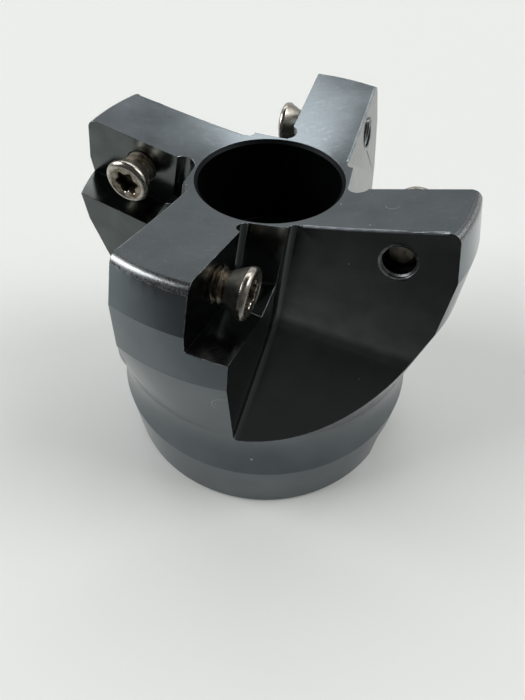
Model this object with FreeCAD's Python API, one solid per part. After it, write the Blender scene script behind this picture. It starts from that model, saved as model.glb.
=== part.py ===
import FreeCAD, Part
import math
import os

# Arbor-mounted face mill body with four indexable insert pockets and their clamping screws.
# Millimetres and degrees. The origin is the centre of the mounting face, which is z = 0.
# +Z runs along the tool axis to the cutting end, and tooth 1 points along +X.
# Seen from the cutting end the teeth turn anticlockwise.

TOOTH_COUNT = 4

# Outline of the turned body
BAND_RADIUS = 25.3
TIP_HEIGHT = 45.35
LEAD_ANGLE = 15.0
FLARE_LENGTH = 5.65
BAND_LENGTH = 7.1
TIP_ROUNDING = 1.3
END_FACE_DISH_ANGLE = 13.0
WAIST_DEPTH = 2.55
WAIST_ARC_RADIUS = 16.0
# Share of the waist, from its top, that the gullets run out through
GULLET_SHARE_OF_WAIST = 0.25
HUB_EDGE_RADIUS = 23.0
HUB_EDGE_HEIGHT = 9.8
HUB_BASE_RADIUS = 22.5
HUB_BASE_CHAMFER = 0.4

BAND_TOP_HEIGHT = TIP_HEIGHT - FLARE_LENGTH
BAND_BOTTOM_HEIGHT = BAND_TOP_HEIGHT - BAND_LENGTH
TIP_RADIUS = BAND_RADIUS - FLARE_LENGTH * math.tan(math.radians(LEAD_ANGLE))
# The neck's cone aims inside the hub's edge by the waist depth
NECK_INSET = BAND_RADIUS - HUB_EDGE_RADIUS + WAIST_DEPTH
NECK_ANGLE = math.degrees(math.atan2(NECK_INSET, BAND_BOTTOM_HEIGHT - HUB_EDGE_HEIGHT))

# Bores on the tool axis
ARBOR_BORE_RADIUS = 11.0
ARBOR_BORE_DEPTH = 21.0
ARBOR_BORE_CHAMFER = 0.6
SCREW_PASSAGE_RADIUS = 5.5
COUNTERBORE_RADIUS = 8.75
COUNTERBORE_FLOOR_HEIGHT = 30.0
COUNTERBORE_CHAMFER = 0.4

# Drive slot across the mounting face
DRIVE_SLOT_WIDTH = 10.4
DRIVE_SLOT_DEPTH = 6.3
DRIVE_SLOT_CORNER_RADIUS = 0.8
DRIVE_SLOT_ANGLE = -5.5

# Where each insert seat stands and how it leans
AXIAL_RAKE = 4.1
SEAT_OFFSET = 0.85
SCREW_INSET = 6.3
SCREW_BELOW_TIP = 5.35

SCREW_RADIAL_POSITION = TIP_RADIUS - SCREW_INSET
SCREW_HEIGHT = TIP_HEIGHT - SCREW_BELOW_TIP

# Insert pocket, measured from the screw axis on the seat
POCKET_DEPTH = 4.4
POCKET_DRAFT_ANGLE = 4.5
LEDGE_DISTANCE = 4.4
INNER_WALL_DISTANCE = 7.3
LEDGE_INNER_END = 3.8
INNER_WALL_FOOT = 2.4
RELIEF_RADIUS = 1.3
RELIEF_AXIS_RISE = 0.5

# Chip gullet, measured from the tool axis and the screw's height
GULLET_WALL_OFFSET = 8.3
GULLET_WALL_ANGLE = 7.4
GULLET_BEND_DEPTH = 10.0
GULLET_BEND_RADIUS = 6.8
GULLET_RAMP_ANGLE = 49.3
GULLET_CORNER_RADIUS = 0.8

# Insert clamping screw, M4 with a conical head and a six-lobe socket
THREAD_RADIUS = 2.0
THREAD_CLEARANCE = 0.05
HEAD_RADIUS = 2.9
HEAD_RIM_LENGTH = 0.9
HEAD_CONE_HALF_ANGLE = 27.5
SCREW_LENGTH = 10.0
SOCKET_TIP_RADIUS = 1.65
SOCKET_WAIST_RADIUS = 1.2
SOCKET_LOBE_CUT_RADIUS = 0.7
SOCKET_DEPTH = 1.6
SOCKET_LOBES = 6

# How far each screw's head face stands above its seat, from tooth 1 on
HEAD_STAND_OFFS = (3.05, 3.5, 4.0, 4.0)

# A length past every face that a cutting tool leaves through
OVERRUN = 30.0
# A small overlap where two cuts meet
CUT_OVERLAP = 0.5

X_AXIS = FreeCAD.Vector(1, 0, 0)
Y_AXIS = FreeCAD.Vector(0, 1, 0)
Z_AXIS = FreeCAD.Vector(0, 0, 1)
ORIGIN = FreeCAD.Vector(0, 0, 0)


def tan(degrees):
    return math.tan(math.radians(degrees))


def sin(degrees):
    return math.sin(math.radians(degrees))


def cos(degrees):
    return math.cos(math.radians(degrees))


def profile_point(radius, height):
    """A point of a turned outline, drawn in the XZ plane."""
    return FreeCAD.Vector(radius, 0, height)


def polygon_face(points):
    return Part.Face(Part.makePolygon(points + points[:1]))


def tooth_placement(index):
    """Local X is radial, local Y leaves the insert seat and local Z climbs it.

    The local origin lies on the seat plane at the height of the screw.
    """
    lean = FreeCAD.Rotation(X_AXIS, -AXIAL_RAKE)
    seat = FreeCAD.Placement(FreeCAD.Vector(0, SEAT_OFFSET, SCREW_HEIGHT), lean)
    turn = FreeCAD.Placement(ORIGIN, FreeCAD.Rotation(Z_AXIS, index * 360.0 / TOOTH_COUNT))
    return turn.multiply(seat)


def at_tooth(shape, index):
    placed = shape.copy()
    placed.Placement = tooth_placement(index).multiply(shape.Placement)
    return placed


def rounded_corner(before, corner, after, radius):
    """Start, middle and end of the arc that rounds a corner between two straight lines."""
    back = (before - corner).normalize()
    ahead = (after - corner).normalize()
    half_angle = back.getAngle(ahead) / 2
    start = corner + back * (radius / math.tan(half_angle))
    end = corner + ahead * (radius / math.tan(half_angle))
    bisector = (back + ahead).normalize()
    centre = corner + bisector * (radius / math.sin(half_angle))
    return start, centre - bisector * radius, end


def waist_arc(band_bottom, hub_edge):
    """Centre and start of the hollow arc from the foot of the neck's cone to the hub's edge."""
    up_cone = profile_point(sin(NECK_ANGLE), cos(NECK_ANGLE))
    outward = profile_point(cos(NECK_ANGLE), -sin(NECK_ANGLE))
    gap = (hub_edge - band_bottom).dot(outward)
    reach = math.sqrt(2 * WAIST_ARC_RADIUS * gap - gap ** 2)
    start = hub_edge - outward * gap + up_cone * reach
    return start + outward * WAIST_ARC_RADIUS, start


def arc_about(centre, start, end):
    """The shorter arc about a centre from start to end."""
    middle = ((start - centre) + (end - centre)).normalize() * start.distanceToPoint(centre)
    return Part.Arc(start, centre + middle, end).toShape()


def turned_outline():
    """Half section of the body: tapered hub, hollow waist, conical neck, band, flare and dished end."""
    base_inner = profile_point(0, 0)
    base_outer = profile_point(HUB_BASE_RADIUS - HUB_BASE_CHAMFER, 0)
    base_edge = profile_point(HUB_BASE_RADIUS, HUB_BASE_CHAMFER)
    hub_edge = profile_point(HUB_EDGE_RADIUS, HUB_EDGE_HEIGHT)
    band_bottom = profile_point(BAND_RADIUS, BAND_BOTTOM_HEIGHT)
    band_top = profile_point(BAND_RADIUS, BAND_TOP_HEIGHT)
    tip = profile_point(TIP_RADIUS, TIP_HEIGHT)
    end_centre = profile_point(0, TIP_HEIGHT - TIP_RADIUS * tan(END_FACE_DISH_ANGLE))
    waist_centre, neck_foot = waist_arc(band_bottom, hub_edge)
    # The gullets run out above this point, so the ring below it stays whole
    chord = neck_foot + (hub_edge - neck_foot) * GULLET_SHARE_OF_WAIST
    waist_middle = waist_centre + (chord - waist_centre).normalize() * WAIST_ARC_RADIUS
    tip_start, tip_middle, tip_end = rounded_corner(band_top, tip, end_centre, TIP_ROUNDING)
    edges = [
        Part.makeLine(base_inner, base_outer),
        Part.makeLine(base_outer, base_edge),
        Part.makeLine(base_edge, hub_edge),
        arc_about(waist_centre, hub_edge, waist_middle),
        arc_about(waist_centre, waist_middle, neck_foot),
        Part.makeLine(neck_foot, band_bottom),
        Part.makeLine(band_bottom, band_top),
        Part.makeLine(band_top, tip_start),
        Part.Arc(tip_start, tip_middle, tip_end).toShape(),
        Part.makeLine(tip_end, end_centre),
        Part.makeLine(end_centre, base_inner),
    ]
    return Part.Face(Part.Wire(edges))


def turned_blank():
    return turned_outline().revolve(ORIGIN, Z_AXIS, 360)


def axis_bores():
    """Arbor bore from below, passage for the arbor screw, and counterbore for its head."""
    arbor = Part.makeCylinder(ARBOR_BORE_RADIUS, ARBOR_BORE_DEPTH + OVERRUN, FreeCAD.Vector(0, 0, -OVERRUN))
    mouth = Part.makeCone(
        ARBOR_BORE_RADIUS + ARBOR_BORE_CHAMFER, ARBOR_BORE_RADIUS, ARBOR_BORE_CHAMFER, ORIGIN)
    passage = Part.makeCylinder(SCREW_PASSAGE_RADIUS, TIP_HEIGHT)
    floor = FreeCAD.Vector(0, 0, COUNTERBORE_FLOOR_HEIGHT)
    counterbore = Part.makeCylinder(COUNTERBORE_RADIUS, TIP_HEIGHT, floor)
    rim_radius = COUNTERBORE_RADIUS + COUNTERBORE_CHAMFER
    rim_height = TIP_HEIGHT - (TIP_RADIUS - rim_radius) * tan(END_FACE_DISH_ANGLE)
    rim_foot = FreeCAD.Vector(0, 0, rim_height - COUNTERBORE_CHAMFER)
    rim = Part.makeCone(COUNTERBORE_RADIUS, rim_radius, COUNTERBORE_CHAMFER, rim_foot)
    return arbor.multiFuse([mouth, passage, counterbore, rim])


def drive_slot():
    length = 2 * (BAND_RADIUS + OVERRUN)
    corner = FreeCAD.Vector(-length / 2, -DRIVE_SLOT_WIDTH / 2, -OVERRUN)
    slot = Part.makeBox(length, DRIVE_SLOT_WIDTH, DRIVE_SLOT_DEPTH + OVERRUN, corner)
    floor_edges = []
    for edge in slot.Edges:
        middle = edge.CenterOfMass
        if abs(middle.z - DRIVE_SLOT_DEPTH) < 0.01 and abs(middle.x) < 0.01:
            floor_edges.append(edge)
    slot = slot.makeFillet(DRIVE_SLOT_CORNER_RADIUS, floor_edges)
    slot.rotate(ORIGIN, Z_AXIS, DRIVE_SLOT_ANGLE)
    return slot


def gullet():
    """The gullet's side wall leans outward as it drops, bends on an arc and leaves on a ramp."""
    level = POCKET_DEPTH
    bend_start = FreeCAD.Vector(
        GULLET_WALL_OFFSET + GULLET_BEND_DEPTH * tan(GULLET_WALL_ANGLE), level, -GULLET_BEND_DEPTH)
    wall_top = FreeCAD.Vector(GULLET_WALL_OFFSET - OVERRUN * tan(GULLET_WALL_ANGLE), level, OVERRUN)

    def bend_point(angle):
        across = GULLET_BEND_RADIUS * (cos(GULLET_WALL_ANGLE) - cos(angle))
        down = GULLET_BEND_RADIUS * (sin(angle) - sin(GULLET_WALL_ANGLE))
        return bend_start + FreeCAD.Vector(across, 0, -down)

    bend_middle = bend_point((GULLET_WALL_ANGLE + GULLET_RAMP_ANGLE) / 2)
    bend_end = bend_point(GULLET_RAMP_ANGLE)
    ramp = FreeCAD.Vector(OVERRUN * sin(GULLET_RAMP_ANGLE), 0, -OVERRUN * cos(GULLET_RAMP_ANGLE))
    ramp_end = bend_end + ramp
    outer_top = FreeCAD.Vector(ramp_end.x, level, wall_top.z)
    wall_edges = [
        Part.makeLine(wall_top, bend_start),
        Part.Arc(bend_start, bend_middle, bend_end).toShape(),
        Part.makeLine(bend_end, ramp_end),
    ]
    closing_edges = [Part.makeLine(ramp_end, outer_top), Part.makeLine(outer_top, wall_top)]
    prism = Part.Face(Part.Wire(wall_edges + closing_edges)).extrude(Y_AXIS * (BAND_RADIUS + OVERRUN))
    corner_edges = []
    for edge in prism.Edges:
        for wall_edge in wall_edges:
            if edge.CenterOfMass.distanceToPoint(wall_edge.CenterOfMass) < 0.01:
                corner_edges.append(edge)
    return prism.makeFillet(GULLET_CORNER_RADIUS, corner_edges)


def pocket_outline(level):
    """Pocket walls at one level above the seat: ledge, short floor and inner wall.

    The ledge climbs outward at the lead angle and the inner wall stands square to it.
    The walls open outward with the draft as the level rises.
    """
    along = FreeCAD.Vector(cos(LEAD_ANGLE), 0, sin(LEAD_ANGLE))
    across = FreeCAD.Vector(-sin(LEAD_ANGLE), 0, cos(LEAD_ANGLE))
    screw = FreeCAD.Vector(SCREW_RADIAL_POSITION, level, 0)
    growth = level * tan(POCKET_DRAFT_ANGLE)
    ledge_foot = screw - across * (LEDGE_DISTANCE + growth)
    wall_foot = screw - along * (INNER_WALL_DISTANCE + growth)
    outer_ledge = ledge_foot + along * OVERRUN
    inner_ledge = ledge_foot - along * LEDGE_INNER_END
    wall_bottom = wall_foot - across * INNER_WALL_FOOT
    wall_top = wall_foot + across * OVERRUN
    return [outer_ledge, inner_ledge, wall_bottom, wall_top]


def insert_pocket():
    bottom = Part.makePolygon(pocket_outline(0) + pocket_outline(0)[:1])
    top_level = POCKET_DEPTH + CUT_OVERLAP
    top = Part.makePolygon(pocket_outline(top_level) + pocket_outline(top_level)[:1])
    return Part.makeLoft([bottom, top], True, True)


def corner_relief():
    """Round groove along the foot of the inner wall, so that an insert's corner stays clear."""
    along = FreeCAD.Vector(cos(LEAD_ANGLE), 0, sin(LEAD_ANGLE))
    across = FreeCAD.Vector(-sin(LEAD_ANGLE), 0, cos(LEAD_ANGLE))
    rise = Y_AXIS * RELIEF_AXIS_RISE
    screw = FreeCAD.Vector(SCREW_RADIAL_POSITION, 0, 0)
    foot = screw - along * (INNER_WALL_DISTANCE - RELIEF_RADIUS) - across * INNER_WALL_FOOT + rise
    return Part.makeCylinder(RELIEF_RADIUS, OVERRUN, foot, across)


def tapped_hole():
    """Hole for the insert screw, square to the seat and right through the tooth."""
    behind = FreeCAD.Vector(SCREW_RADIAL_POSITION, -OVERRUN / 2, 0)
    return Part.makeCylinder(THREAD_RADIUS + THREAD_CLEARANCE, OVERRUN, behind, Y_AXIS)


def cutter_body():
    body = turned_blank().cut(axis_bores()).cut(drive_slot())
    for index in range(TOOTH_COUNT):
        for tool in (gullet(), insert_pocket(), corner_relief(), tapped_hole()):
            body = body.cut(at_tooth(tool, index))
    return body


def six_lobe_socket():
    """Recess between six round lobes, drawn down the screw axis from the head face."""
    start = FreeCAD.Vector(0, -SOCKET_DEPTH, 0)
    socket = Part.makeCylinder(SOCKET_TIP_RADIUS, SOCKET_DEPTH + CUT_OVERLAP, start, Y_AXIS)
    distance = SOCKET_WAIST_RADIUS + SOCKET_LOBE_CUT_RADIUS
    for lobe in range(SOCKET_LOBES):
        angle = (lobe + 0.5) * 360.0 / SOCKET_LOBES
        centre = start + FreeCAD.Vector(distance * cos(angle), 0, distance * sin(angle))
        flank = Part.makeCylinder(SOCKET_LOBE_CUT_RADIUS, SOCKET_DEPTH + CUT_OVERLAP, centre, Y_AXIS)
        socket = socket.cut(flank)
    return socket


def insert_screw(stand_off):
    """Screw on the axis of its hole, drawn with its head face at y = 0 and then lifted to place."""
    cone_length = (HEAD_RADIUS - THREAD_RADIUS) / tan(HEAD_CONE_HALF_ANGLE)
    outline = [
        (0, 0),
        (HEAD_RADIUS, 0),
        (HEAD_RADIUS, -HEAD_RIM_LENGTH),
        (THREAD_RADIUS, -HEAD_RIM_LENGTH - cone_length),
        (THREAD_RADIUS, -SCREW_LENGTH),
        (0, -SCREW_LENGTH),
    ]
    points = [FreeCAD.Vector(radius, along, 0) for radius, along in outline]
    screw = polygon_face(points).revolve(ORIGIN, Y_AXIS, 360)
    screw = screw.cut(six_lobe_socket())
    screw.translate(FreeCAD.Vector(SCREW_RADIAL_POSITION, stand_off, 0))
    return screw


def export(shape, name):
    shape.exportStep(os.path.join("parts", name + ".step"))


os.makedirs("parts", exist_ok=True)
export(cutter_body(), "cutter_body")
for tooth in range(TOOTH_COUNT):
    screw_stand_off = HEAD_STAND_OFFS[tooth % len(HEAD_STAND_OFFS)]
    export(at_tooth(insert_screw(screw_stand_off), tooth), "insert_screw_%d" % (tooth + 1))
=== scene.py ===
"""Indexable face mill: the looks of the cutter body and its four insert screws."""

import math

import bmesh
import bpy
from bpy.props import FloatProperty, FloatVectorProperty, IntProperty, PointerProperty
from mathutils import Matrix, Vector


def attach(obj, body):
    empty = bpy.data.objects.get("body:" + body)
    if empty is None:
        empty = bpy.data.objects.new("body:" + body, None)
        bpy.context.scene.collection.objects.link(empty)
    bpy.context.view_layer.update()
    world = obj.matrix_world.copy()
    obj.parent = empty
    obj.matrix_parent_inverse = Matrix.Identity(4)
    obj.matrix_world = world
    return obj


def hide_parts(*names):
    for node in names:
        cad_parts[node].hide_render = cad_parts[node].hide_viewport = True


bl_info = {
    "name": "Indexable face mill",
    "version": (1, 0, 0),
    "blender": (4, 5, 0),
    "location": "3D View > Sidebar > Face Mill",
    "description": "Builds the finished cutter body, its insert screws and a plain studio",
    "category": "Add Mesh",
}

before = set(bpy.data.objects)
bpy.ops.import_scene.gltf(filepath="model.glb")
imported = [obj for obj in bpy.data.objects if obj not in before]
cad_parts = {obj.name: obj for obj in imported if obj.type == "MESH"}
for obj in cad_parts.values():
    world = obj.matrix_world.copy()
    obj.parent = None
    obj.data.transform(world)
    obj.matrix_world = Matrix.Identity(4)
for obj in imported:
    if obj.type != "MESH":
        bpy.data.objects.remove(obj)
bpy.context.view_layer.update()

MM = 0.001
TOOTH_COUNT = 4

# Millimetres in the part's frame: regions of the turned body
END_FACE_FLOOR = 38.0
TIP_ROUNDING_FOOT = 43.0
TIP_ROUNDING_INSIDE = 21.5
BORE_WALL_RADIUS = 9.0
ARBOR_BORE_LIMIT = 12.0
# How far the end face leans down towards the bore
END_FACE_DISH = math.radians(13.0)

# Millimetres in the part's frame: centre and radius of each knock that went through the oxide
NICKS = (
    ((6.05, -21.39, 12.67), 0.22), ((9.47, -2.32, 42.11), 0.12), ((13.64, -6.68, 43.37), 0.11),
    ((12.45, -8.32, 39.0), 0.1), ((16.81, -11.91, 24.53), 0.09), ((2.9, -24.2, 28.4), 0.1))
# Curved scratches on the end of tooth 1 and on the neck: centre, radius, width and the side they are on
ARC_SCRATCHES = (
    ((15.15, -2.25, 43.4), 0.8, 0.07, (0.0, -1.0, 0.0)),
    ((4.4, -24.0, 28.2), 1.95, 0.1, (-0.8, 0.0, 0.6)))
# A patch on the ledge of tooth 4 where an insert has rubbed: centre and radius
RUBBED_LEDGE = ((3.03, -23.8, 36.8), 1.7)

# The screw axis on tooth 1: distance from the tool axis, height, seat offset and lean of the seat
SCREW_RADIAL_POSITION = 17.486
SCREW_HEIGHT = 40.0
SEAT_OFFSET = 0.85
SEAT_LEAN = math.radians(4.1)
# How far each head face stands off its seat, and the tapped hole's radius in the solid
HEAD_STAND_OFFS = (3.05, 3.5, 4.0, 4.0)
HOLE_RADIUS = 2.05
# Along the screw axis from the seat: the hole's back mouth, and the screw tip's deepest place
HOLE_BACK = -9.05
SCREW_TIP_DEEPEST = -7.55

# Insert screw, measured from its head face
SCREW_LENGTH = 10.0
SOCKET_TIP_RADIUS = 1.65
SOCKET_WAIST_RADIUS = 1.2
SOCKET_LOBES = 6
NECK_HEIGHT = -2.95

# M4 coarse thread
THREAD_PITCH = 0.7
THREAD_CREST_RADIUS = 1.97
THREAD_ROOT_RADIUS = 1.57
THREAD_STEPS = 48

# Points of a screw or a thread that lie closer than this, in millimetres, are one point
MERGE_DISTANCE = 0.001

# The photograph's camera: millimetres in the part's frame, and the frame's long side in pixels
CAMERA_POSITION = (18.696, -52.291, 76.006)
CAMERA_RIGHT = (0.93332, 0.35884, 0.01243)
CAMERA_UP = (-0.28293, 0.71369, 0.64078)
CAMERA_BACK = (0.22107, -0.60157, 0.76762)
CAMERA_FOCAL_PIXELS = 512.629
FRAME_LONG_SIDE = 700
SENSOR_WIDTH = 36.0

# The Mix node's colour sockets go by number, because its other sockets share their names
COLOUR_A = 6
COLOUR_B = 7
MIXED_COLOUR = 2

# Samples that round each edge in the shading
EDGE_SAMPLES = 6

# Edges with a larger angle than this stay sharp, and faces with this many sides or more are round caps
SMOOTH_ANGLE = math.radians(32)
CAP_SIDES = 24

# The finishes of the body and of a screw, in the order of their material slots
TURNED, MILLED, BORED, TIP, WORN = range(5)
RIM, CONE, THREAD, SOCKET = range(4)


def linear(hex_colour):
    """An sRGB hex colour as the linear values that Blender's sockets take."""
    values = []
    for start in (1, 3, 5):
        level = int(hex_colour[start:start + 2], 16) / 255
        values.append(level / 12.92 if level <= 0.04045 else ((level + 0.055) / 1.055) ** 2.4)
    return (*values, 1.0)


def add_node(tree, kind, inputs=None, **settings):
    """Adds one node, sets its properties, and gives each input that is named a value or a link."""
    node = tree.nodes.new(kind)
    for name, value in settings.items():
        setattr(node, name, value)
    for name, value in (inputs or {}).items():
        if isinstance(value, bpy.types.NodeSocket):
            tree.links.new(value, node.inputs[name])
        else:
            node.inputs[name].default_value = value
    return node


def new_material(name):
    """A material with an empty node tree, and the object's own coordinates in it."""
    material = bpy.data.materials.new(name)
    material.use_nodes = True
    tree = material.node_tree
    tree.nodes.clear()
    place = add_node(tree, "ShaderNodeTexCoord").outputs["Object"]
    return material, tree, place


def finish_metal(tree, inputs):
    """Adds the metal's shader with the given inputs, and the material's output."""
    shader = add_node(tree, "ShaderNodeBsdfPrincipled", {"Metallic": 1.0, **inputs})
    add_node(tree, "ShaderNodeOutputMaterial", {"Surface": shader.outputs["BSDF"]})


def ring_place(tree, place):
    """Coordinates that are the same all round the tool axis: radius and height."""
    parts = add_node(tree, "ShaderNodeSeparateXYZ", {"Vector": place}).outputs
    flat = add_node(tree, "ShaderNodeCombineXYZ", {"X": parts["X"], "Y": parts["Y"]}).outputs["Vector"]
    radius = add_node(tree, "ShaderNodeVectorMath", {0: flat}, operation="LENGTH").outputs["Value"]
    return add_node(tree, "ShaderNodeCombineXYZ", {"X": radius, "Z": parts["Z"]}).outputs["Vector"]


def mottle(tree, place, size, low, high, detail=3.0):
    """A mask of soft blotches, with lumps of about the given size in metres."""
    noise = add_node(tree, "ShaderNodeTexNoise", {"Vector": place, "Scale": 1 / size, "Detail": detail})
    return add_node(tree, "ShaderNodeMapRange", {
        "Value": noise.outputs["Fac"], "From Min": low, "From Max": high}).outputs["Result"]


def hairlines(tree, place, turn, width, length, threshold):
    """Thin straight marks of one direction, from noise drawn out along it."""
    drawn_out = add_node(
        tree, "ShaderNodeMapping",
        {"Vector": place, "Rotation": (0.0, 0.0, turn), "Scale": (length, width, length)},
        vector_type="TEXTURE")
    # The mapping has divided the place by width and length, so the noise has a size of 1 here
    return mottle(tree, drawn_out.outputs["Vector"], 1.0, threshold, threshold + 0.06, 1.0)


def strongest(tree, *masks):
    """The largest of several masks at each place."""
    result = masks[0]
    for mask in masks[1:]:
        result = add_node(tree, "ShaderNodeMath", {0: result, 1: mask}, operation="MAXIMUM").outputs["Value"]
    return result


def edge_mask(tree, rounded):
    """A mask that is 1 at the middle of a rounded edge and 0 on the flat beside it."""
    flat = add_node(tree, "ShaderNodeNewGeometry").outputs["Normal"]
    likeness = add_node(tree, "ShaderNodeVectorMath", {0: rounded, 1: flat}, operation="DOT_PRODUCT")
    return add_node(tree, "ShaderNodeMapRange", {
        "Value": likeness.outputs["Value"], "From Min": 0.995, "From Max": 0.93}).outputs["Result"]


def worn_through(tree, place, edges, low):
    """Where rubbing has gone through the oxide on the edges, which leaves them bright in places."""
    broken = mottle(tree, place, 0.7 * MM, low, 0.58, 4.0)
    return add_node(tree, "ShaderNodeMath", {0: edges, 1: broken}, operation="MULTIPLY").outputs["Value"]


def end_face_shading(tree, place, normal):
    """Gives the dished end face the normal of its true cone, since its long facets would show as rays."""
    parts = add_node(tree, "ShaderNodeSeparateXYZ", {"Vector": place}).outputs
    flat = add_node(tree, "ShaderNodeCombineXYZ", {"X": parts["X"], "Y": parts["Y"]}).outputs["Vector"]
    outward = add_node(tree, "ShaderNodeVectorMath", {0: flat}, operation="NORMALIZE").outputs["Vector"]
    lean = add_node(
        tree, "ShaderNodeVectorMath", {0: outward, "Scale": -math.sin(END_FACE_DISH)}, operation="SCALE")
    cone = add_node(
        tree, "ShaderNodeVectorMath",
        {0: lean.outputs["Vector"], 1: (0.0, 0.0, math.cos(END_FACE_DISH))}, operation="ADD")
    surface = add_node(tree, "ShaderNodeNewGeometry").outputs
    shift = add_node(
        tree, "ShaderNodeVectorMath", {0: cone.outputs["Vector"], 1: surface["Normal"]}, operation="SUBTRACT")
    up = add_node(tree, "ShaderNodeSeparateXYZ", {"Vector": surface["True Normal"]}).outputs["Z"]
    on_end_face = add_node(tree, "ShaderNodeMath", {0: up, 1: 0.9}, operation="GREATER_THAN")
    shift = add_node(
        tree, "ShaderNodeVectorMath",
        {0: shift.outputs["Vector"], "Scale": on_end_face.outputs["Value"]}, operation="SCALE")
    moved = add_node(tree, "ShaderNodeVectorMath", {0: normal, 1: shift.outputs["Vector"]}, operation="ADD")
    return add_node(
        tree, "ShaderNodeVectorMath", {0: moved.outputs["Vector"]}, operation="NORMALIZE").outputs["Vector"]


def knocks(tree, place):
    """The named nicks and curved scratches, as one mask."""
    masks = []
    for centre, radius in NICKS:
        away = add_node(
            tree, "ShaderNodeVectorMath", {0: place, 1: Vector(centre) * MM}, operation="DISTANCE")
        spot = add_node(tree, "ShaderNodeMapRange", {
            "Value": away.outputs["Value"], "From Min": radius * MM, "From Max": 0.5 * radius * MM})
        masks.append(spot.outputs["Result"])
    for centre, radius, width, side in ARC_SCRATCHES:
        away = add_node(
            tree, "ShaderNodeVectorMath", {0: place, 1: Vector(centre) * MM}, operation="DISTANCE")
        on_ring = add_node(
            tree, "ShaderNodeMath", {0: away.outputs["Value"], 1: radius * MM, 2: width * MM / 2},
            operation="COMPARE")
        reach = add_node(tree, "ShaderNodeVectorMath", {0: place, 1: side}, operation="DOT_PRODUCT")
        start = Vector(centre).dot(Vector(side)) * MM
        half = add_node(tree, "ShaderNodeMapRange", {
            "Value": reach.outputs["Value"], "From Min": start, "From Max": start + radius * MM / 2})
        arc = add_node(
            tree, "ShaderNodeMath", {0: on_ring.outputs["Value"], 1: half.outputs["Result"]},
            operation="MULTIPLY")
        faint = add_node(tree, "ShaderNodeMath", {0: arc.outputs["Value"], 1: 0.5}, operation="MULTIPLY")
        masks.append(faint.outputs["Value"])
    return strongest(tree, *masks)


def ledge_rubbing(tree, place):
    """Scratches left by an insert on one ledge."""
    centre, radius = RUBBED_LEDGE
    away = add_node(tree, "ShaderNodeVectorMath", {0: place, 1: Vector(centre) * MM}, operation="DISTANCE")
    patch = add_node(tree, "ShaderNodeMapRange", {
        "Value": away.outputs["Value"], "From Min": radius * MM, "From Max": 0.4 * radius * MM})
    lines = add_node(tree, "ShaderNodeMapRange", {
        "Value": hairlines(tree, place, math.radians(65), 0.1 * MM, 1.6 * MM, 0.42),
        "To Min": 0.12, "To Max": 0.5})
    return add_node(
        tree, "ShaderNodeMath", {0: patch.outputs["Result"], 1: lines.outputs["Result"]},
        operation="MULTIPLY").outputs["Value"]


def handling_scratches(tree, place):
    """Fine crossing scratches on the surfaces that look up, where tools and fingers reach."""
    lines = strongest(
        tree,
        hairlines(tree, place, math.radians(28), 0.05 * MM, 1.6 * MM, 0.66),
        hairlines(tree, place, math.radians(-52), 0.05 * MM, 1.2 * MM, 0.68))
    normal = add_node(tree, "ShaderNodeNewGeometry").outputs["Normal"]
    up = add_node(tree, "ShaderNodeSeparateXYZ", {"Vector": normal}).outputs["Z"]
    faces_up = add_node(tree, "ShaderNodeMapRange", {"Value": up, "From Min": 0.85, "From Max": 0.95})
    lines = add_node(tree, "ShaderNodeMath", {0: lines, 1: faces_up.outputs["Result"]}, operation="MULTIPLY")
    return add_node(
        tree, "ShaderNodeMath", {0: lines.outputs["Value"], 1: 0.2}, operation="MULTIPLY").outputs["Value"]


def turned_black_oxide(settings):
    """Black oxide on turned alloy steel.

    A satin blue-grey that is a little blotchy, with faint rings from the tool's feed, fine
    handling scratches and a few nicks where the oxide is knocked off.
    """
    material, tree, place = new_material("turned_black_oxide_steel")
    tone = add_node(tree, "ShaderNodeTexNoise", {
        "Vector": place, "Scale": 1 / (5 * MM), "Detail": 3.0}).outputs["Fac"]
    shade = add_node(tree, "ShaderNodeMapRange", {"Value": tone, "From Min": 0.35, "From Max": 0.65})
    coat = add_node(
        tree, "ShaderNodeMix",
        {"Factor": shade.outputs["Result"], COLOUR_A: settings.dark_oxide, COLOUR_B: settings.oxide},
        data_type="RGBA")
    # A real feed of 0.1 mm is too fine to show, so the rings are drawn 0.25 mm apart
    rings = add_node(tree, "ShaderNodeTexNoise", {
        "Vector": ring_place(tree, place), "Scale": 1 / (0.25 * MM), "Detail": 1.0})
    rounded = add_node(
        tree, "ShaderNodeBevel", {"Radius": settings.edge_radius}, samples=EDGE_SAMPLES).outputs["Normal"]
    worn = strongest(
        tree, handling_scratches(tree, place), knocks(tree, place),
        worn_through(tree, place, edge_mask(tree, rounded), 0.42))
    colour = add_node(
        tree, "ShaderNodeMix",
        {"Factor": worn, COLOUR_A: coat.outputs[MIXED_COLOUR], COLOUR_B: settings.bare_steel},
        data_type="RGBA")
    roughness = add_node(tree, "ShaderNodeMapRange", {
        "Value": tone, "From Min": 0.3, "From Max": 0.7, "To Min": 0.15, "To Max": 0.21})
    relief = add_node(tree, "ShaderNodeBump", {
        "Height": rings.outputs["Fac"], "Strength": 0.12, "Distance": 0.006 * MM,
        "Normal": end_face_shading(tree, place, rounded)})
    finish_metal(tree, {
        "Base Color": colour.outputs[MIXED_COLOUR], "Roughness": roughness.outputs["Result"],
        "Normal": relief.outputs["Normal"]})
    return material


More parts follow.
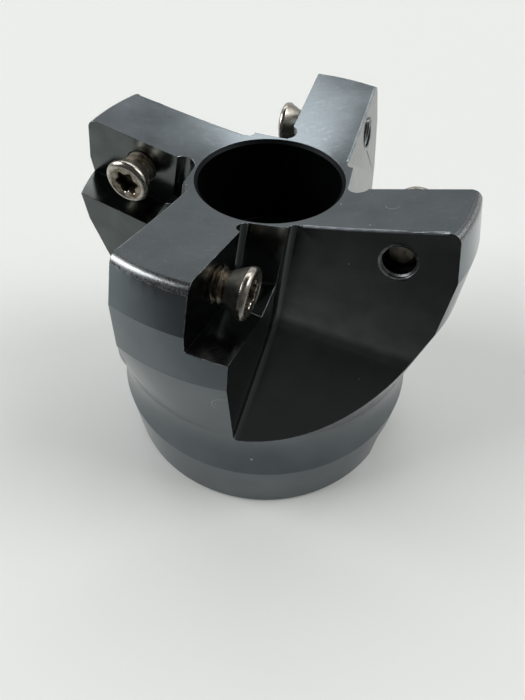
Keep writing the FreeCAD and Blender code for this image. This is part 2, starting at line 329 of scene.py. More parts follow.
def milled_black_oxide(settings):
    """Black oxide on milled alloy steel: nearly black, with fine level lines from the cutter and a painted
    sheen low in the gullets.
    """
    material, tree, place = new_material("milled_black_oxide_steel")
    # Cutter lines of 0.05 mm are too fine to show, so they are drawn 0.2 mm apart
    drawn_out = add_node(
        tree, "ShaderNodeMapping", {"Vector": place, "Scale": (6 * MM, 6 * MM, 0.2 * MM)},
        vector_type="TEXTURE")
    lines = add_node(tree, "ShaderNodeTexNoise", {
        "Vector": drawn_out.outputs["Vector"], "Scale": 1.0, "Detail": 2.0}).outputs["Fac"]
    coat = add_node(
        tree, "ShaderNodeMix",
        {"Factor": mottle(tree, place, 3 * MM, 0.35, 0.65), COLOUR_A: settings.milled_dark,
         COLOUR_B: settings.milled_light},
        data_type="RGBA")
    # Painted sheen: the oxide is painted a lighter grey towards the bottom of each gullet, for the lighter
    # reflection there
    height = add_node(tree, "ShaderNodeSeparateXYZ", {"Vector": place}).outputs["Z"]
    painted_sheen_foot = add_node(tree, "ShaderNodeMapRange", {
        "Value": height, "From Min": 26 * MM, "From Max": 22 * MM, "To Min": 0.0, "To Max": 0.5})
    coat = add_node(
        tree, "ShaderNodeMix",
        {"Factor": painted_sheen_foot.outputs["Result"], COLOUR_A: coat.outputs[MIXED_COLOUR],
         COLOUR_B: settings.painted_sheen_oxide},
        data_type="RGBA")
    # Only the edges at the outside and at the top are rubbed in handling
    ring = add_node(tree, "ShaderNodeSeparateXYZ", {"Vector": ring_place(tree, place)}).outputs
    outside = add_node(tree, "ShaderNodeMapRange", {
        "Value": ring["X"], "From Min": 17 * MM, "From Max": 19 * MM})
    top = add_node(tree, "ShaderNodeMapRange", {
        "Value": ring["Z"], "From Min": 40.5 * MM, "From Max": 42 * MM, "To Min": 0.15, "To Max": 1.0})
    exposed = strongest(tree, outside.outputs["Result"], top.outputs["Result"])
    rounded = add_node(
        tree, "ShaderNodeBevel", {"Radius": settings.edge_radius}, samples=EDGE_SAMPLES).outputs["Normal"]
    edges = worn_through(tree, place, edge_mask(tree, rounded), 0.4)
    edges = add_node(tree, "ShaderNodeMath", {0: edges, 1: exposed}, operation="MULTIPLY").outputs["Value"]
    worn = strongest(tree, edges, knocks(tree, place), ledge_rubbing(tree, place))
    colour = add_node(
        tree, "ShaderNodeMix",
        {"Factor": worn, COLOUR_A: coat.outputs[MIXED_COLOUR], COLOUR_B: settings.bare_steel},
        data_type="RGBA")
    roughness = add_node(tree, "ShaderNodeMapRange", {
        "Value": lines, "From Min": 0.35, "From Max": 0.65, "To Min": 0.15, "To Max": 0.21})
    relief = add_node(tree, "ShaderNodeBump", {
        "Height": lines, "Strength": 0.2, "Distance": 0.01 * MM, "Normal": rounded})
    finish_metal(tree, {
        "Base Color": colour.outputs[MIXED_COLOUR], "Roughness": roughness.outputs["Result"],
        "Normal": relief.outputs["Normal"]})
    return material


def tapped_oxide_painted_highlight(settings):
    """Black oxide on cut threads, mottled with a light grey as a painted highlight, so that the threads show
    in the dark hole.
    """
    material, tree, place = new_material("tapped_steel_painted_highlight")
    # Painted highlight: patches of light grey stand for the faint highlights on the threads
    colour = add_node(
        tree, "ShaderNodeMix",
        {"Factor": mottle(tree, place, 0.5 * MM, 0.35, 0.7), COLOUR_A: settings.oxide,
         COLOUR_B: linear("#B4B6B6")},
        data_type="RGBA")
    finish_metal(tree, {"Base Color": colour.outputs[MIXED_COLOUR], "Roughness": 0.3})
    return material


def bored_oxide_painted_shade():
    """Black oxide in the bores, with painted shade: near-black and matt, so that it stays black."""
    material, tree, place = new_material("bored_steel_painted_shade")
    rings = add_node(tree, "ShaderNodeTexNoise", {
        "Vector": ring_place(tree, place), "Scale": 1 / (0.3 * MM), "Detail": 1.0}).outputs["Fac"]
    # Painted shade: both tones are near-black, far darker than the oxide elsewhere, so that the bores stay
    # black
    colour = add_node(
        tree, "ShaderNodeMix",
        {"Factor": rings, COLOUR_A: linear("#121314"), COLOUR_B: linear("#1E2021")}, data_type="RGBA")
    relief = add_node(tree, "ShaderNodeBump", {"Height": rings, "Strength": 0.2, "Distance": 0.01 * MM})
    finish_metal(tree, {
        "Base Color": colour.outputs[MIXED_COLOUR], "Roughness": 0.5, "Normal": relief.outputs["Normal"]})
    return material


def rubbed_tip_steel(settings):
    """The rounded outer tip: oxide rubbed thin, with a broken grain of bare steel along the round."""
    material, tree, place = new_material("rubbed_tip_steel")
    grain = add_node(tree, "ShaderNodeTexNoise", {
        "Vector": place, "Scale": 1 / (0.22 * MM), "Detail": 3.0}).outputs["Fac"]
    streaks = add_node(tree, "ShaderNodeTexNoise", {
        "Vector": ring_place(tree, place), "Scale": 1 / (0.42 * MM), "Detail": 2.0}).outputs["Fac"]
    spots = add_node(tree, "ShaderNodeMapRange", {"Value": grain, "From Min": 0.3, "From Max": 0.7})
    bands = add_node(tree, "ShaderNodeMapRange", {
        "Value": streaks, "From Min": 0.4, "From Max": 0.62, "To Min": 0.0, "To Max": 0.5})
    worn = add_node(
        tree, "ShaderNodeMath", {0: spots.outputs["Result"], 1: bands.outputs["Result"]},
        operation="MULTIPLY")
    colour = add_node(
        tree, "ShaderNodeMix",
        {"Factor": worn.outputs["Value"], COLOUR_A: settings.thin_oxide, COLOUR_B: settings.bare_steel},
        data_type="RGBA")
    roughness = add_node(tree, "ShaderNodeMapRange", {
        "Value": grain, "From Min": 0.3, "From Max": 0.7, "To Min": 0.24, "To Max": 0.36})
    rounded = add_node(
        tree, "ShaderNodeBevel", {"Radius": settings.edge_radius}, samples=EDGE_SAMPLES).outputs["Normal"]
    fine_relief = add_node(tree, "ShaderNodeBump", {
        "Height": grain, "Strength": 0.2, "Distance": 0.01 * MM, "Normal": rounded})
    relief = add_node(tree, "ShaderNodeBump", {
        "Height": streaks, "Strength": 0.3, "Distance": 0.03 * MM, "Normal": fine_relief.outputs["Normal"]})
    finish_metal(tree, {
        "Base Color": colour.outputs[MIXED_COLOUR], "Roughness": roughness.outputs["Result"],
        "Normal": relief.outputs["Normal"]})
    return material


def worn_edge_steel(settings):
    """Broken edges, where handling has rubbed the oxide through to bright metal in places.

    Along the teeth the milling cutter left small teeth in the edge, 0.24 mm apart.
    """
    material, tree, place = new_material("worn_edge_steel")
    noise = add_node(tree, "ShaderNodeTexNoise", {"Vector": place, "Scale": 1 / (0.9 * MM), "Detail": 4.0})
    wear = add_node(tree, "ShaderNodeMapRange", {
        "Value": noise.outputs["Fac"], "From Min": 0.4, "From Max": 0.6, "To Min": 0.15, "To Max": 0.5})
    radius = add_node(tree, "ShaderNodeSeparateXYZ", {"Vector": ring_place(tree, place)}).outputs["X"]
    phase = add_node(
        tree, "ShaderNodeMath", {0: radius, 1: 2 * math.pi / (0.24 * MM)}, operation="MULTIPLY")
    wave = add_node(tree, "ShaderNodeMath", {0: phase.outputs["Value"]}, operation="SINE")
    serration = add_node(tree, "ShaderNodeMapRange", {
        "Value": wave.outputs["Value"], "From Min": -1.0, "From Max": 1.0, "To Min": 0.35, "To Max": 1.0})
    worn = add_node(
        tree, "ShaderNodeMath", {0: wear.outputs["Result"], 1: serration.outputs["Result"]},
        operation="MULTIPLY")
    colour = add_node(
        tree, "ShaderNodeMix",
        {"Factor": worn.outputs["Value"], COLOUR_A: settings.oxide, COLOUR_B: settings.bare_steel},
        data_type="RGBA")
    finish_metal(tree, {"Base Color": colour.outputs[MIXED_COLOUR], "Roughness": 0.4})
    return material


def nickel_finish(name, bright, stained, roughness, grain_size, grain_depth):
    """Nickel plating on cold-headed steel, with a grain and a stain of their own for each surface."""
    material, tree, place = new_material(name)
    grain = add_node(tree, "ShaderNodeTexNoise", {
        "Vector": place, "Scale": 1 / grain_size, "Detail": 4.0}).outputs["Fac"]
    colour = add_node(
        tree, "ShaderNodeMix",
        {"Factor": mottle(tree, place, 0.8 * MM, 0.4, 0.62), COLOUR_A: bright, COLOUR_B: stained},
        data_type="RGBA")
    gloss = add_node(tree, "ShaderNodeMapRange", {
        "Value": grain, "From Min": 0.3, "From Max": 0.7, "To Min": roughness, "To Max": roughness + 0.1})
    relief = add_node(tree, "ShaderNodeBump", {"Height": grain, "Strength": 0.4, "Distance": grain_depth})
    finish_metal(tree, {
        "Base Color": colour.outputs[MIXED_COLOUR], "Roughness": gloss.outputs["Result"],
        "Normal": relief.outputs["Normal"]})
    return material


def screw_materials(settings):
    """Bright rolled rim, matt pitted cone, stained thread and face, and a socket coloured dark brown."""
    finishes = (
        ("nickel_bright_rim", settings.nickel, settings.stain, 0.2, 0.3, 0.01),
        ("nickel_matt_cone", settings.matt_nickel, settings.stain, 0.31, 0.12, 0.02),
        ("nickel_stained_thread", settings.stain, settings.brown, 0.3, 0.2, 0.01),
        ("nickel_dark_socket", settings.darkening, settings.brown, 0.45, 0.2, 0.01))
    return [
        nickel_finish(name, bright, stained, roughness, grain_size * MM, grain_depth * MM)
        for name, bright, stained, roughness, grain_size, grain_depth in finishes]


def finished_piece(mesh, name, materials, body, slot, *replaced):
    """Turns a bmesh into a smooth piece that rides on its body and stands for its CAD nodes."""
    data = bpy.data.meshes.new(name)
    mesh.to_mesh(data)
    mesh.free()
    for material in materials:
        data.materials.append(material)
    piece = bpy.data.objects.new(name, data)
    bpy.context.scene.collection.objects.link(piece)
    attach(piece, body)
    if replaced:
        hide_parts(*replaced)
    return piece


def tooth_turn(index):
    return Matrix.Rotation(math.radians(index * 360 / TOOTH_COUNT), 4, "Z")


def screw_matrix(index, stand_off):
    """From the screw's own frame, +Z out of the seat and in millimetres, to the part's frame."""
    lean = Matrix.Rotation(-SEAT_LEAN, 4, "X")
    to_axis = Matrix.Rotation(math.radians(-90), 4, "X")
    seat = Matrix.Translation((SCREW_RADIAL_POSITION, SEAT_OFFSET, SCREW_HEIGHT))
    lift = Matrix.Translation((0, 0, stand_off))
    return Matrix.Scale(MM, 4) @ tooth_turn(index) @ seat @ lean @ to_axis @ lift


def mark_patches(mesh):
    """Numbers each smooth patch of a node's loose mesh, which is cut at every edge of the solid."""
    patch = mesh.faces.layers.int.new("patch")
    number = 0
    for seed in mesh.faces:
        if seed[patch]:
            continue
        number += 1
        seed[patch] = number
        waiting = [seed]
        while waiting:
            for edge in waiting.pop().edges:
                for face in edge.link_faces:
                    if not face[patch]:
                        face[patch] = number
                        waiting.append(face)
    return patch


def body_finish(face):
    """Which finish a face of the body has, from where it lies and which way it looks."""
    centre = face.calc_center_median() / MM
    radius = math.hypot(centre.x, centre.y)
    outward = Vector((centre.x, centre.y, 0)).normalized()
    # A turned face looks outward, inward, up or down, but never sideways
    sideways = abs(face.normal.dot(Vector((-outward.y, outward.x, 0))))
    if sideways > 0.02:
        return MILLED
    inward = radius < BORE_WALL_RADIUS or face.normal.dot(outward) < -0.5 and radius < ARBOR_BORE_LIMIT
    if inward and face.normal.z < 0.9:
        return BORED
    if centre.z > TIP_ROUNDING_FOOT and radius > TIP_ROUNDING_INSIDE and 0.27 < face.normal.z < 0.965:
        return TIP
    return TURNED


def lobed_ring(mesh, height, scale):
    """A closed ring with six round lobes, for the socket."""
    ring = bmesh.ops.create_circle(mesh, segments=12 * SOCKET_LOBES, radius=1.0)["verts"]
    middle = (SOCKET_TIP_RADIUS + SOCKET_WAIST_RADIUS) / 2
    swing = (SOCKET_TIP_RADIUS - SOCKET_WAIST_RADIUS) / 2
    for vert in ring:
        angle = math.atan2(vert.co.y, vert.co.x)
        radius = scale * (middle + swing * math.cos(SOCKET_LOBES * angle))
        vert.co = Vector((radius * math.cos(angle), radius * math.sin(angle), height))
    return ring_edges(ring)


def ring_edges(verts):
    """The edges between the given points, each once, in the order of the points."""
    chosen = set(verts)
    edges = (edge for vert in verts for edge in vert.link_edges if edge.other_vert(vert) in chosen)
    return list(dict.fromkeys(edges))


def plain_ring(mesh, height, radius, segments):
    ring = bmesh.ops.create_circle(mesh, segments=segments, radius=radius)["verts"]
    bmesh.ops.translate(mesh, verts=ring, vec=(0, 0, height))
    return ring_edges(ring)


def bridge(mesh, first, second, material):
    """Joins two rings of edges with faces of one material."""
    for face in bmesh.ops.bridge_loops(mesh, edges=first + second)["faces"]:
        face.material_index = material


def spun_band(mesh, outline, segments, material):
    """Spins an open outline of (radius, height) points round Z and gives its first and last rings."""
    verts = [mesh.verts.new((radius, 0, height)) for radius, height in outline]
    edges = [mesh.edges.new(pair) for pair in zip(verts, verts[1:])]
    old_faces = set(mesh.faces)
    bmesh.ops.spin(
        mesh, geom=verts + edges, cent=(0, 0, 0), axis=(0, 0, 1), angle=math.tau, steps=segments,
        use_merge=True)
    for face in mesh.faces:
        if face not in old_faces:
            face.material_index = material
    rings = []
    for radius, height in (outline[0], outline[-1]):
        ring = [vert for vert in mesh.verts if abs(vert.co.z - height) < 1e-4
                and abs(math.hypot(vert.co.x, vert.co.y) - radius) < 1e-4]
        rings.append(ring_edges(ring))
    return rings


def helical_thread(mesh, outline, start, turns):
    """Winds an outline of (radius, height) points round Z as a right-hand thread."""
    verts = [mesh.verts.new((radius, 0, start + height)) for radius, height in outline]
    edges = [mesh.edges.new(pair) for pair in zip(verts, verts[1:])]
    bmesh.ops.spin(
        mesh, geom=verts + edges, cent=(0, 0, 0), axis=(0, 0, 1), dvec=(0, 0, THREAD_PITCH / THREAD_STEPS),
        angle=math.tau * turns, steps=THREAD_STEPS * turns)
    bmesh.ops.remove_doubles(mesh, verts=mesh.verts, dist=MERGE_DISTANCE)


def cut_between(mesh, low, high):
    """Keeps only what lies between two heights."""
    for height, side in ((low, -1), (high, 1)):
        bmesh.ops.bisect_plane(
            mesh, geom=mesh.verts[:] + mesh.edges[:] + mesh.faces[:], plane_co=(0, 0, height),
            plane_no=(0, 0, side), clear_outer=True)


def shade_smooth(mesh):
    """Turns the faces outward and shades them smooth, apart from the sharp edges."""
    bmesh.ops.recalc_face_normals(mesh, faces=mesh.faces)
    for face in mesh.faces:
        # The round caps stay flat, so that their shade doesn't hang on how they are split
        face.smooth = len(face.verts) < CAP_SIDES
    for edge in mesh.edges:
        edge.smooth = len(edge.link_faces) == 2 and edge.calc_face_angle() < SMOOTH_ANGLE


def rolled_thread(low, high):
    """A bmesh of the screw's thread between two heights, open at both ends."""
    mesh = bmesh.new()
    flank = 0.24
    crest = 0.1
    root = THREAD_PITCH - 2 * flank - crest
    outline = (
        (THREAD_ROOT_RADIUS, 0.0), (THREAD_ROOT_RADIUS, root), (THREAD_CREST_RADIUS, root + flank),
        (THREAD_CREST_RADIUS, root + flank + crest), (THREAD_ROOT_RADIUS, THREAD_PITCH))
    turns = math.ceil((high - low) / THREAD_PITCH) + 2
    helical_thread(mesh, outline, low - 1.5 * THREAD_PITCH, turns)
    cut_between(mesh, low, high)
    return mesh


def screw_mesh(segments):
    """One insert screw in its own frame: the head face is at z = 0 and the shank points down."""
    mesh = rolled_thread(-SCREW_LENGTH + 0.35, NECK_HEIGHT - 0.2)
    for face in mesh.faces:
        face.material_index = THREAD
    open_edges = [edge for edge in mesh.edges if edge.is_boundary]
    top = [edge for edge in open_edges if edge.verts[0].co.z > -SCREW_LENGTH / 2]
    bottom = [edge for edge in open_edges if edge.verts[0].co.z < -SCREW_LENGTH / 2]

    tip = plain_ring(mesh, -SCREW_LENGTH + 0.02, 1.35, segments)
    bridge(mesh, bottom, tip, THREAD)
    bmesh.ops.contextual_create(mesh, geom=tip)

    # The neck under the head, the matt cone, and the bright rolled rim
    neck = ((1.6, NECK_HEIGHT), (1.72, NECK_HEIGHT + 0.18), (1.9, -2.6))
    cone = ((1.9, -2.6), (1.95, -2.5), (2.76, -0.98))
    rim = (
        (2.76, -0.98), (2.84, -0.9), (2.87, -0.84), (2.885, -0.62), (2.88, -0.46), (2.83, -0.34),
        (2.72, -0.2), (2.57, -0.09), (2.42, -0.03), (2.3, -0.01), (2.18, -0.03), (2.1, -0.1))
    neck_rings = spun_band(mesh, neck, segments, THREAD)
    spun_band(mesh, cone, segments, CONE)
    rim_rings = spun_band(mesh, rim, segments, RIM)
    bridge(mesh, top, neck_rings[0], THREAD)

    lip = lobed_ring(mesh, -0.18, 1.03)
    throat = lobed_ring(mesh, -0.28, 0.97)
    bed = lobed_ring(mesh, -1.55, 0.92)
    drill_point = plain_ring(mesh, -1.85, 0.3, 12 * SOCKET_LOBES)
    bridge(mesh, rim_rings[1], lip, THREAD)
    bridge(mesh, lip, throat, RIM)
    bridge(mesh, throat, bed, SOCKET)
    bridge(mesh, bed, drill_point, SOCKET)
    bmesh.ops.contextual_create(mesh, geom=drill_point, mat_nr=SOCKET)
    bmesh.ops.remove_doubles(mesh, verts=mesh.verts, dist=MERGE_DISTANCE)
    shade_smooth(mesh)
    return mesh


def tapped_thread():
    """The hole's own thread behind the screw's deepest place, in the frame of the screw's seat."""
    mesh = bmesh.new()
    wall = HOLE_RADIUS + 0.08
    crest = 1.84
    outline = ((wall, 0.0), (wall, 0.5), (crest, 0.28), (crest, 0.22), (wall, 0.0))
    turns = 2
    helical_thread(mesh, outline, HOLE_BACK - 0.75 * THREAD_PITCH, turns)
    cut_between(mesh, HOLE_BACK, SCREW_TIP_DEEPEST)
    open_edges = [edge for edge in mesh.edges if edge.is_boundary]
    bmesh.ops.holes_fill(mesh, edges=open_edges, sides=0)
    shade_smooth(mesh)
    return mesh


class FaceMillBody(bpy.types.PropertyGroup):
    edge_radius: FloatProperty(
        name="Edge Radius", description="Radius that wear gives to the other sharp edges",
        default=0.1 * MM, min=0.0, unit="LENGTH")
    back_edge_break: FloatProperty(
        name="Back Edge Break", description="How far the top edge at the back of each tooth is broken",
        default=0.26 * MM, min=0.0, unit="LENGTH")
    hole_break: FloatProperty(
        name="Hole Break", description="How far the mouth of each tapped hole is broken",
        default=0.1 * MM, min=0.0, unit="LENGTH")
    oxide: FloatVectorProperty(
        name="Oxide", description="Lighter tone of the black oxide on turned faces", size=4,
        default=linear("#757D81"), subtype="COLOR")
    dark_oxide: FloatVectorProperty(
        name="Dark Oxide", description="Darker tone of the black oxide on turned faces", size=4,
        default=linear("#6C7478"), subtype="COLOR")
    milled_light: FloatVectorProperty(
        name="Milled Light", description="Lighter tone of the black oxide on milled faces", size=4,
        default=linear("#656A69"), subtype="COLOR")
    milled_dark: FloatVectorProperty(
        name="Milled Dark", description="Darker tone of the black oxide on milled faces", size=4,
        default=linear("#5B5F5E"), subtype="COLOR")
    thin_oxide: FloatVectorProperty(
        name="Thin Oxide", description="Tone of the thin oxide on the rounded tips", size=4,
        default=linear("#6A6D6D"), subtype="COLOR")
    # Painted sheen: a lighter tone of the oxide, painted low in the gullets where the wall reflects more
    # light
    painted_sheen_oxide: FloatVectorProperty(
        name="Painted Sheen Oxide", description="Tone of the oxide where chips have rubbed it, low in the gullets",
        size=4, default=linear("#8A9091"), subtype="COLOR")
    bare_steel: FloatVectorProperty(
        name="Bare Steel", description="Colour where the oxide is rubbed through", size=4,
        default=linear("#C9CDD2"), subtype="COLOR")


class FaceMillScrews(bpy.types.PropertyGroup):
    nickel: FloatVectorProperty(
        name="Nickel", description="Colour of the bright rim", size=4,
        default=linear("#C2BDB5"), subtype="COLOR")
    matt_nickel: FloatVectorProperty(
        name="Matt Nickel", description="Colour of the matt cone", size=4,
        default=linear("#B3B0A8"), subtype="COLOR")
    stain: FloatVectorProperty(
        name="Stain", description="Colour where the plating is dull", size=4,
        default=linear("#9B958A"), subtype="COLOR")
    brown: FloatVectorProperty(
        name="Brown", description="Colour of the stain in the thread", size=4,
        default=linear("#756A58"), subtype="COLOR")
    # A dark brown for the socket, darker than the rest of the screw
    darkening: FloatVectorProperty(
        name="Darkening", description="Colour of the residue in the socket", size=4,
        default=linear("#37322B"), subtype="COLOR")
    segments: IntProperty(
        name="Segments", description="Facets round each screw", default=72, min=24)


class FaceMillStage(bpy.types.PropertyGroup):
    floor: FloatVectorProperty(
        name="Floor", description="Colour of the floor", size=4, default=linear("#F1F3F0"), subtype="COLOR")
    floor_size: FloatProperty(
        name="Floor Size", description="Side of the square floor", default=3.0, unit="LENGTH")
    softbox_power: FloatProperty(
        name="Softbox Power", description="Power of the overhead softbox", default=22.5, unit="POWER")
    right_power: FloatProperty(
        name="Right Power", description="Power of the softbox at the right", default=84.0, unit="POWER")
    left_power: FloatProperty(
        name="Left Power", description="Power of the low softbox at the left", default=140.0, unit="POWER")


class FACEMILL_OT_cutter_body(bpy.types.Operator):
    """Build the cutter body with broken, worn edges and black oxide finishes"""
    bl_idname = "facemill.cutter_body"
    bl_label = "Cutter Body"

    def execute(self, context):
        settings = context.scene.face_mill_body
        mesh = bmesh.new()
        mesh.from_mesh(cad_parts["cutter_body"].data)
        # The patches are found before the merge, which joins them into one skin
        patch = mark_patches(mesh)
        bmesh.ops.remove_doubles(mesh, verts=mesh.verts, dist=0.0005 * MM)
        for face in mesh.faces:
            face.smooth = True
            face.material_index = body_finish(face)
        for edge in mesh.edges:
            first, second = edge.link_faces
            edge.seam = first[patch] != second[patch] and edge.calc_face_angle() > math.radians(8)
        bmesh.ops.dissolve_limit(
            mesh, angle_limit=math.radians(0.2), verts=mesh.verts, edges=mesh.edges, delimit={"SEAM"})
        weight = mesh.edges.layers.float.new("bevel_weight_edge")
        for edge in mesh.edges:
            if edge.seam:
                edge.smooth = False
                edge[weight] = self.edge_break(edge, settings) / settings.back_edge_break
        piece = finished_piece(
            mesh, "cutter_body_finished",
            [turned_black_oxide(settings), milled_black_oxide(settings), bored_oxide_painted_shade(),
             rubbed_tip_steel(settings), worn_edge_steel(settings)],
            "body", "black_oxide_steel", "cutter_body")
        bevel = piece.modifiers.new("edge_break", "BEVEL")
        bevel.limit_method = "WEIGHT"
        bevel.width = settings.back_edge_break
        bevel.segments = 2
        bevel.profile = 0.5
        bevel.use_clamp_overlap = False
        bevel.harden_normals = True
        bevel.material = WORN
        return {"FINISHED"}

    def edge_break(self, edge, settings):
        """How far one edge of the solid is cut back: the holes' mouths and the teeth's top back edges."""
        finishes = {face.material_index for face in edge.link_faces}
        middle = (edge.verts[0].co + edge.verts[1].co) / 2
        for index in range(TOOTH_COUNT):
            own = screw_matrix(index, 0.0).inverted() @ middle
            if math.hypot(own.x, own.y) < HOLE_RADIUS + 0.05 and own.z < 1.0 and finishes == {MILLED}:
                return settings.hole_break
            turn = tooth_turn(index).inverted()
            side = turn @ middle / MM
            on_tooth = BORE_WALL_RADIUS - 2 < side.x < TIP_ROUNDING_INSIDE and side.z > END_FACE_FLOOR
            if on_tooth and side.y < -6:
                normals = [turn.to_3x3() @ face.normal for face in edge.link_faces]
                if max(n.z for n in normals) > 0.9 and min(n.y for n in normals) < -0.9:
                    return settings.back_edge_break if TIP not in finishes else 0.0
        return 0.0


class FACEMILL_OT_hole_threads(bpy.types.Operator):
    """Build the threads that show in the back mouths of the four tapped holes"""
    bl_idname = "facemill.hole_threads"
    bl_label = "Hole Threads"

    def execute(self, context):
        settings = context.scene.face_mill_body
        mesh = bmesh.new()
        for index in range(TOOTH_COUNT):
            turn = tapped_thread()
            turn.transform(screw_matrix(index, 0.0))
            data = bpy.data.meshes.new("thread")
            turn.to_mesh(data)
            turn.free()
            mesh.from_mesh(data)
            bpy.data.meshes.remove(data)
        finished_piece(
            mesh, "tapped_hole_threads", [tapped_oxide_painted_highlight(settings)], "body", "black_oxide_steel")
        return {"FINISHED"}


class FACEMILL_OT_insert_screws(bpy.types.Operator):
    """Build the four insert screws with conical heads, six-lobe sockets and threads"""
    bl_idname = "facemill.insert_screws"
    bl_label = "Insert Screws"

    def execute(self, context):
        settings = context.scene.face_mill_screws
        materials = screw_materials(settings)
        for index, stand_off in enumerate(HEAD_STAND_OFFS):
            mesh = screw_mesh(settings.segments)
            mesh.transform(screw_matrix(index, stand_off))
            name = "insert_screw_%d" % (index + 1)
            finished_piece(
                mesh, name + "_finished", materials, "screw_%d" % (index + 1), "bright_screw_steel", name)
        return {"FINISHED"}


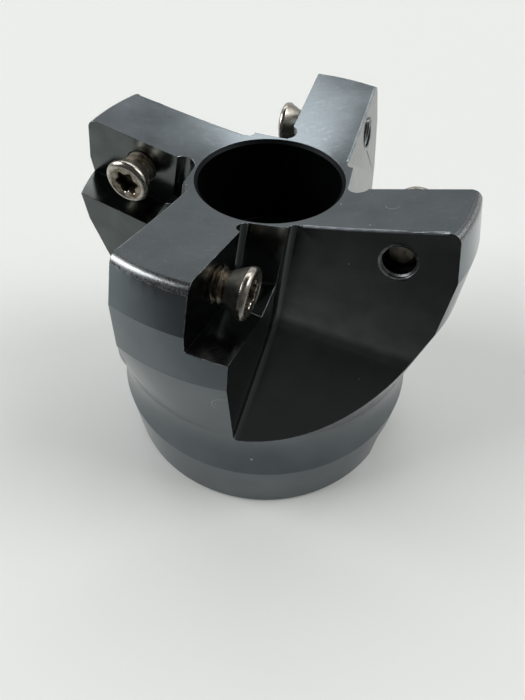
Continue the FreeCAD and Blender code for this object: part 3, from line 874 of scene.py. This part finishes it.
class FACEMILL_OT_stage(bpy.types.Operator):
    """Build the pale floor, the soft lights and the photograph's camera"""
    bl_idname = "facemill.stage"
    bl_label = "Stage"

    def execute(self, context):
        settings = context.scene.face_mill_stage
        self.add_floor(settings)
        self.add_lights(context, settings)
        self.add_world(context)
        self.add_camera(context)
        context.scene.view_settings.view_transform = "Standard"
        return {"FINISHED"}

    def add_floor(self, settings):
        mesh = bmesh.new()
        bmesh.ops.create_grid(mesh, x_segments=1, y_segments=1, size=settings.floor_size / 2)
        data = bpy.data.meshes.new("floor")
        mesh.to_mesh(data)
        mesh.free()
        data.materials.append(self.pale_laminate(settings))
        floor = bpy.data.objects.new("floor", data)
        bpy.context.scene.collection.objects.link(floor)

    def pale_laminate(self, settings):
        """Pale laminate, with painted shade: reflections see its colour fall into shade in front of the part,
        past the picture.
        """
        material, tree, place = new_material("pale_laminate")
        # Painted shade: for all but camera rays the floor's colour darkens towards the front of the part, for
        # the shadow that falls there
        across = add_node(
            tree, "ShaderNodeVectorMath", {0: place, 1: (-0.6, 1.0, 0.0)}, operation="DOT_PRODUCT")
        shade = add_node(
            tree, "ShaderNodeMapRange",
            {"Value": across.outputs["Value"], "From Min": -0.11, "From Max": 0.035, "To Min": 0.1,
             "To Max": 1.0},
            interpolation_type="SMOOTHSTEP")
        # Camera rays see the floor evenly pale, and only other rays see the painted shade
        camera_ray = add_node(tree, "ShaderNodeLightPath").outputs["Is Camera Ray"]
        colour = add_node(
            tree, "ShaderNodeMix",
            {"Factor": strongest(tree, camera_ray, shade.outputs["Result"]),
             COLOUR_A: (0.0, 0.0, 0.0, 1.0), COLOUR_B: settings.floor},
            data_type="RGBA")
        shader = add_node(tree, "ShaderNodeBsdfPrincipled", {
            "Base Color": colour.outputs[MIXED_COLOUR], "Roughness": 0.7})
        add_node(tree, "ShaderNodeOutputMaterial", {"Surface": shader.outputs["BSDF"]})
        return material

    def add_lights(self, context, settings):
        """Three softboxes. The overhead one faces straight down, and the others face the part."""
        for name, place, size, power in (
                ("overhead_softbox", (-0.6, 1.58, 2.4), (3.2, 0.88), settings.softbox_power),
                ("right_softbox", (3.4, 1.2, 3.2), (2.6, 2.6), settings.right_power),
                ("left_softbox", (-3.6, -1.36, 2.5), (3.0, 2.4), settings.left_power)):
            lamp = bpy.data.lights.new(name, "AREA")
            lamp.shape = "RECTANGLE"
            lamp.size, lamp.size_y = size
            lamp.energy = power
            softbox = bpy.data.objects.new(name, lamp)
            softbox.location = place
            if name != "overhead_softbox":
                softbox.rotation_euler = Vector(place).to_track_quat("Z", "Y").to_euler()
            context.scene.collection.objects.link(softbox)

    def add_world(self, context):
        """Soft room light: brighter behind the part and at its right, and dark straight above it."""
        world = bpy.data.worlds.new("studio")
        world.use_nodes = True
        tree = world.node_tree
        tree.nodes.clear()
        direction = add_node(tree, "ShaderNodeTexCoord").outputs["Generated"]
        parts = add_node(tree, "ShaderNodeSeparateXYZ", {"Vector": direction}).outputs
        behind = add_node(
            tree, "ShaderNodeMapRange",
            {"Value": parts["Y"], "From Min": -0.35, "From Max": 0.5, "To Min": 0.1, "To Max": 0.63},
            interpolation_type="SMOOTHSTEP")
        right = add_node(tree, "ShaderNodeMapRange", {
            "Value": parts["X"], "From Min": 0.1, "From Max": 0.6, "To Min": 1.0, "To Max": 1.35})
        above = add_node(tree, "ShaderNodeMapRange", {
            "Value": parts["Z"], "From Min": 0.8, "From Max": 0.93, "To Min": 1.0, "To Max": 0.08})
        factor = add_node(
            tree, "ShaderNodeMath", {0: right.outputs["Result"], 1: above.outputs["Result"]},
            operation="MULTIPLY")
        strength = add_node(
            tree, "ShaderNodeMath", {0: behind.outputs["Result"], 1: factor.outputs["Value"]},
            operation="MULTIPLY")
        room = add_node(tree, "ShaderNodeBackground", {"Strength": strength.outputs["Value"]})
        backdrop = add_node(tree, "ShaderNodeBackground", {"Strength": 0.8})
        camera_ray = add_node(tree, "ShaderNodeLightPath").outputs["Is Camera Ray"]
        mix = add_node(tree, "ShaderNodeMixShader", {
            "Fac": camera_ray, 1: room.outputs["Background"], 2: backdrop.outputs["Background"]})
        add_node(tree, "ShaderNodeOutputWorld", {"Surface": mix.outputs["Shader"]})
        context.scene.world = world

    def add_camera(self, context):
        data = bpy.data.cameras.new("photo_camera")
        data.sensor_width = SENSOR_WIDTH
        data.lens = SENSOR_WIDTH * CAMERA_FOCAL_PIXELS / FRAME_LONG_SIDE
        data.clip_start = 0.005
        camera = bpy.data.objects.new("photo_camera", data)
        turn = Matrix((CAMERA_RIGHT, CAMERA_UP, CAMERA_BACK)).transposed().to_4x4()
        camera.matrix_world = Matrix.Translation(Vector(CAMERA_POSITION) * MM) @ turn
        context.scene.collection.objects.link(camera)
        context.scene.camera = camera


class FACEMILL_PT_panel(bpy.types.Panel):
    bl_label = "Face Mill"
    bl_idname = "FACEMILL_PT_panel"
    bl_space_type = "VIEW_3D"
    bl_region_type = "UI"
    bl_category = "Face Mill"

    def draw(self, context):
        for name, operators in (
                ("face_mill_body", ("facemill.cutter_body", "facemill.hole_threads")),
                ("face_mill_screws", ("facemill.insert_screws",)),
                ("face_mill_stage", ("facemill.stage",))):
            box = self.layout.box()
            group = getattr(context.scene, name)
            for field in group.bl_rna.properties.keys():
                if field not in ("rna_type", "name"):
                    box.prop(group, field)
            for operator in operators:
                box.operator(operator)


CLASSES = (
    FaceMillBody, FaceMillScrews, FaceMillStage,
    FACEMILL_OT_cutter_body, FACEMILL_OT_hole_threads, FACEMILL_OT_insert_screws, FACEMILL_OT_stage,
    FACEMILL_PT_panel)


def register():
    for cls in CLASSES:
        bpy.utils.register_class(cls)
    bpy.types.Scene.face_mill_body = PointerProperty(type=FaceMillBody)
    bpy.types.Scene.face_mill_screws = PointerProperty(type=FaceMillScrews)
    bpy.types.Scene.face_mill_stage = PointerProperty(type=FaceMillStage)


def unregister():
    del bpy.types.Scene.face_mill_stage
    del bpy.types.Scene.face_mill_screws
    del bpy.types.Scene.face_mill_body
    for cls in reversed(CLASSES):
        bpy.utils.unregister_class(cls)


def main():
    register()
    bpy.ops.facemill.cutter_body()
    bpy.ops.facemill.hole_threads()
    bpy.ops.facemill.insert_screws()
    bpy.ops.facemill.stage()


if __name__ == "__main__":
    main()
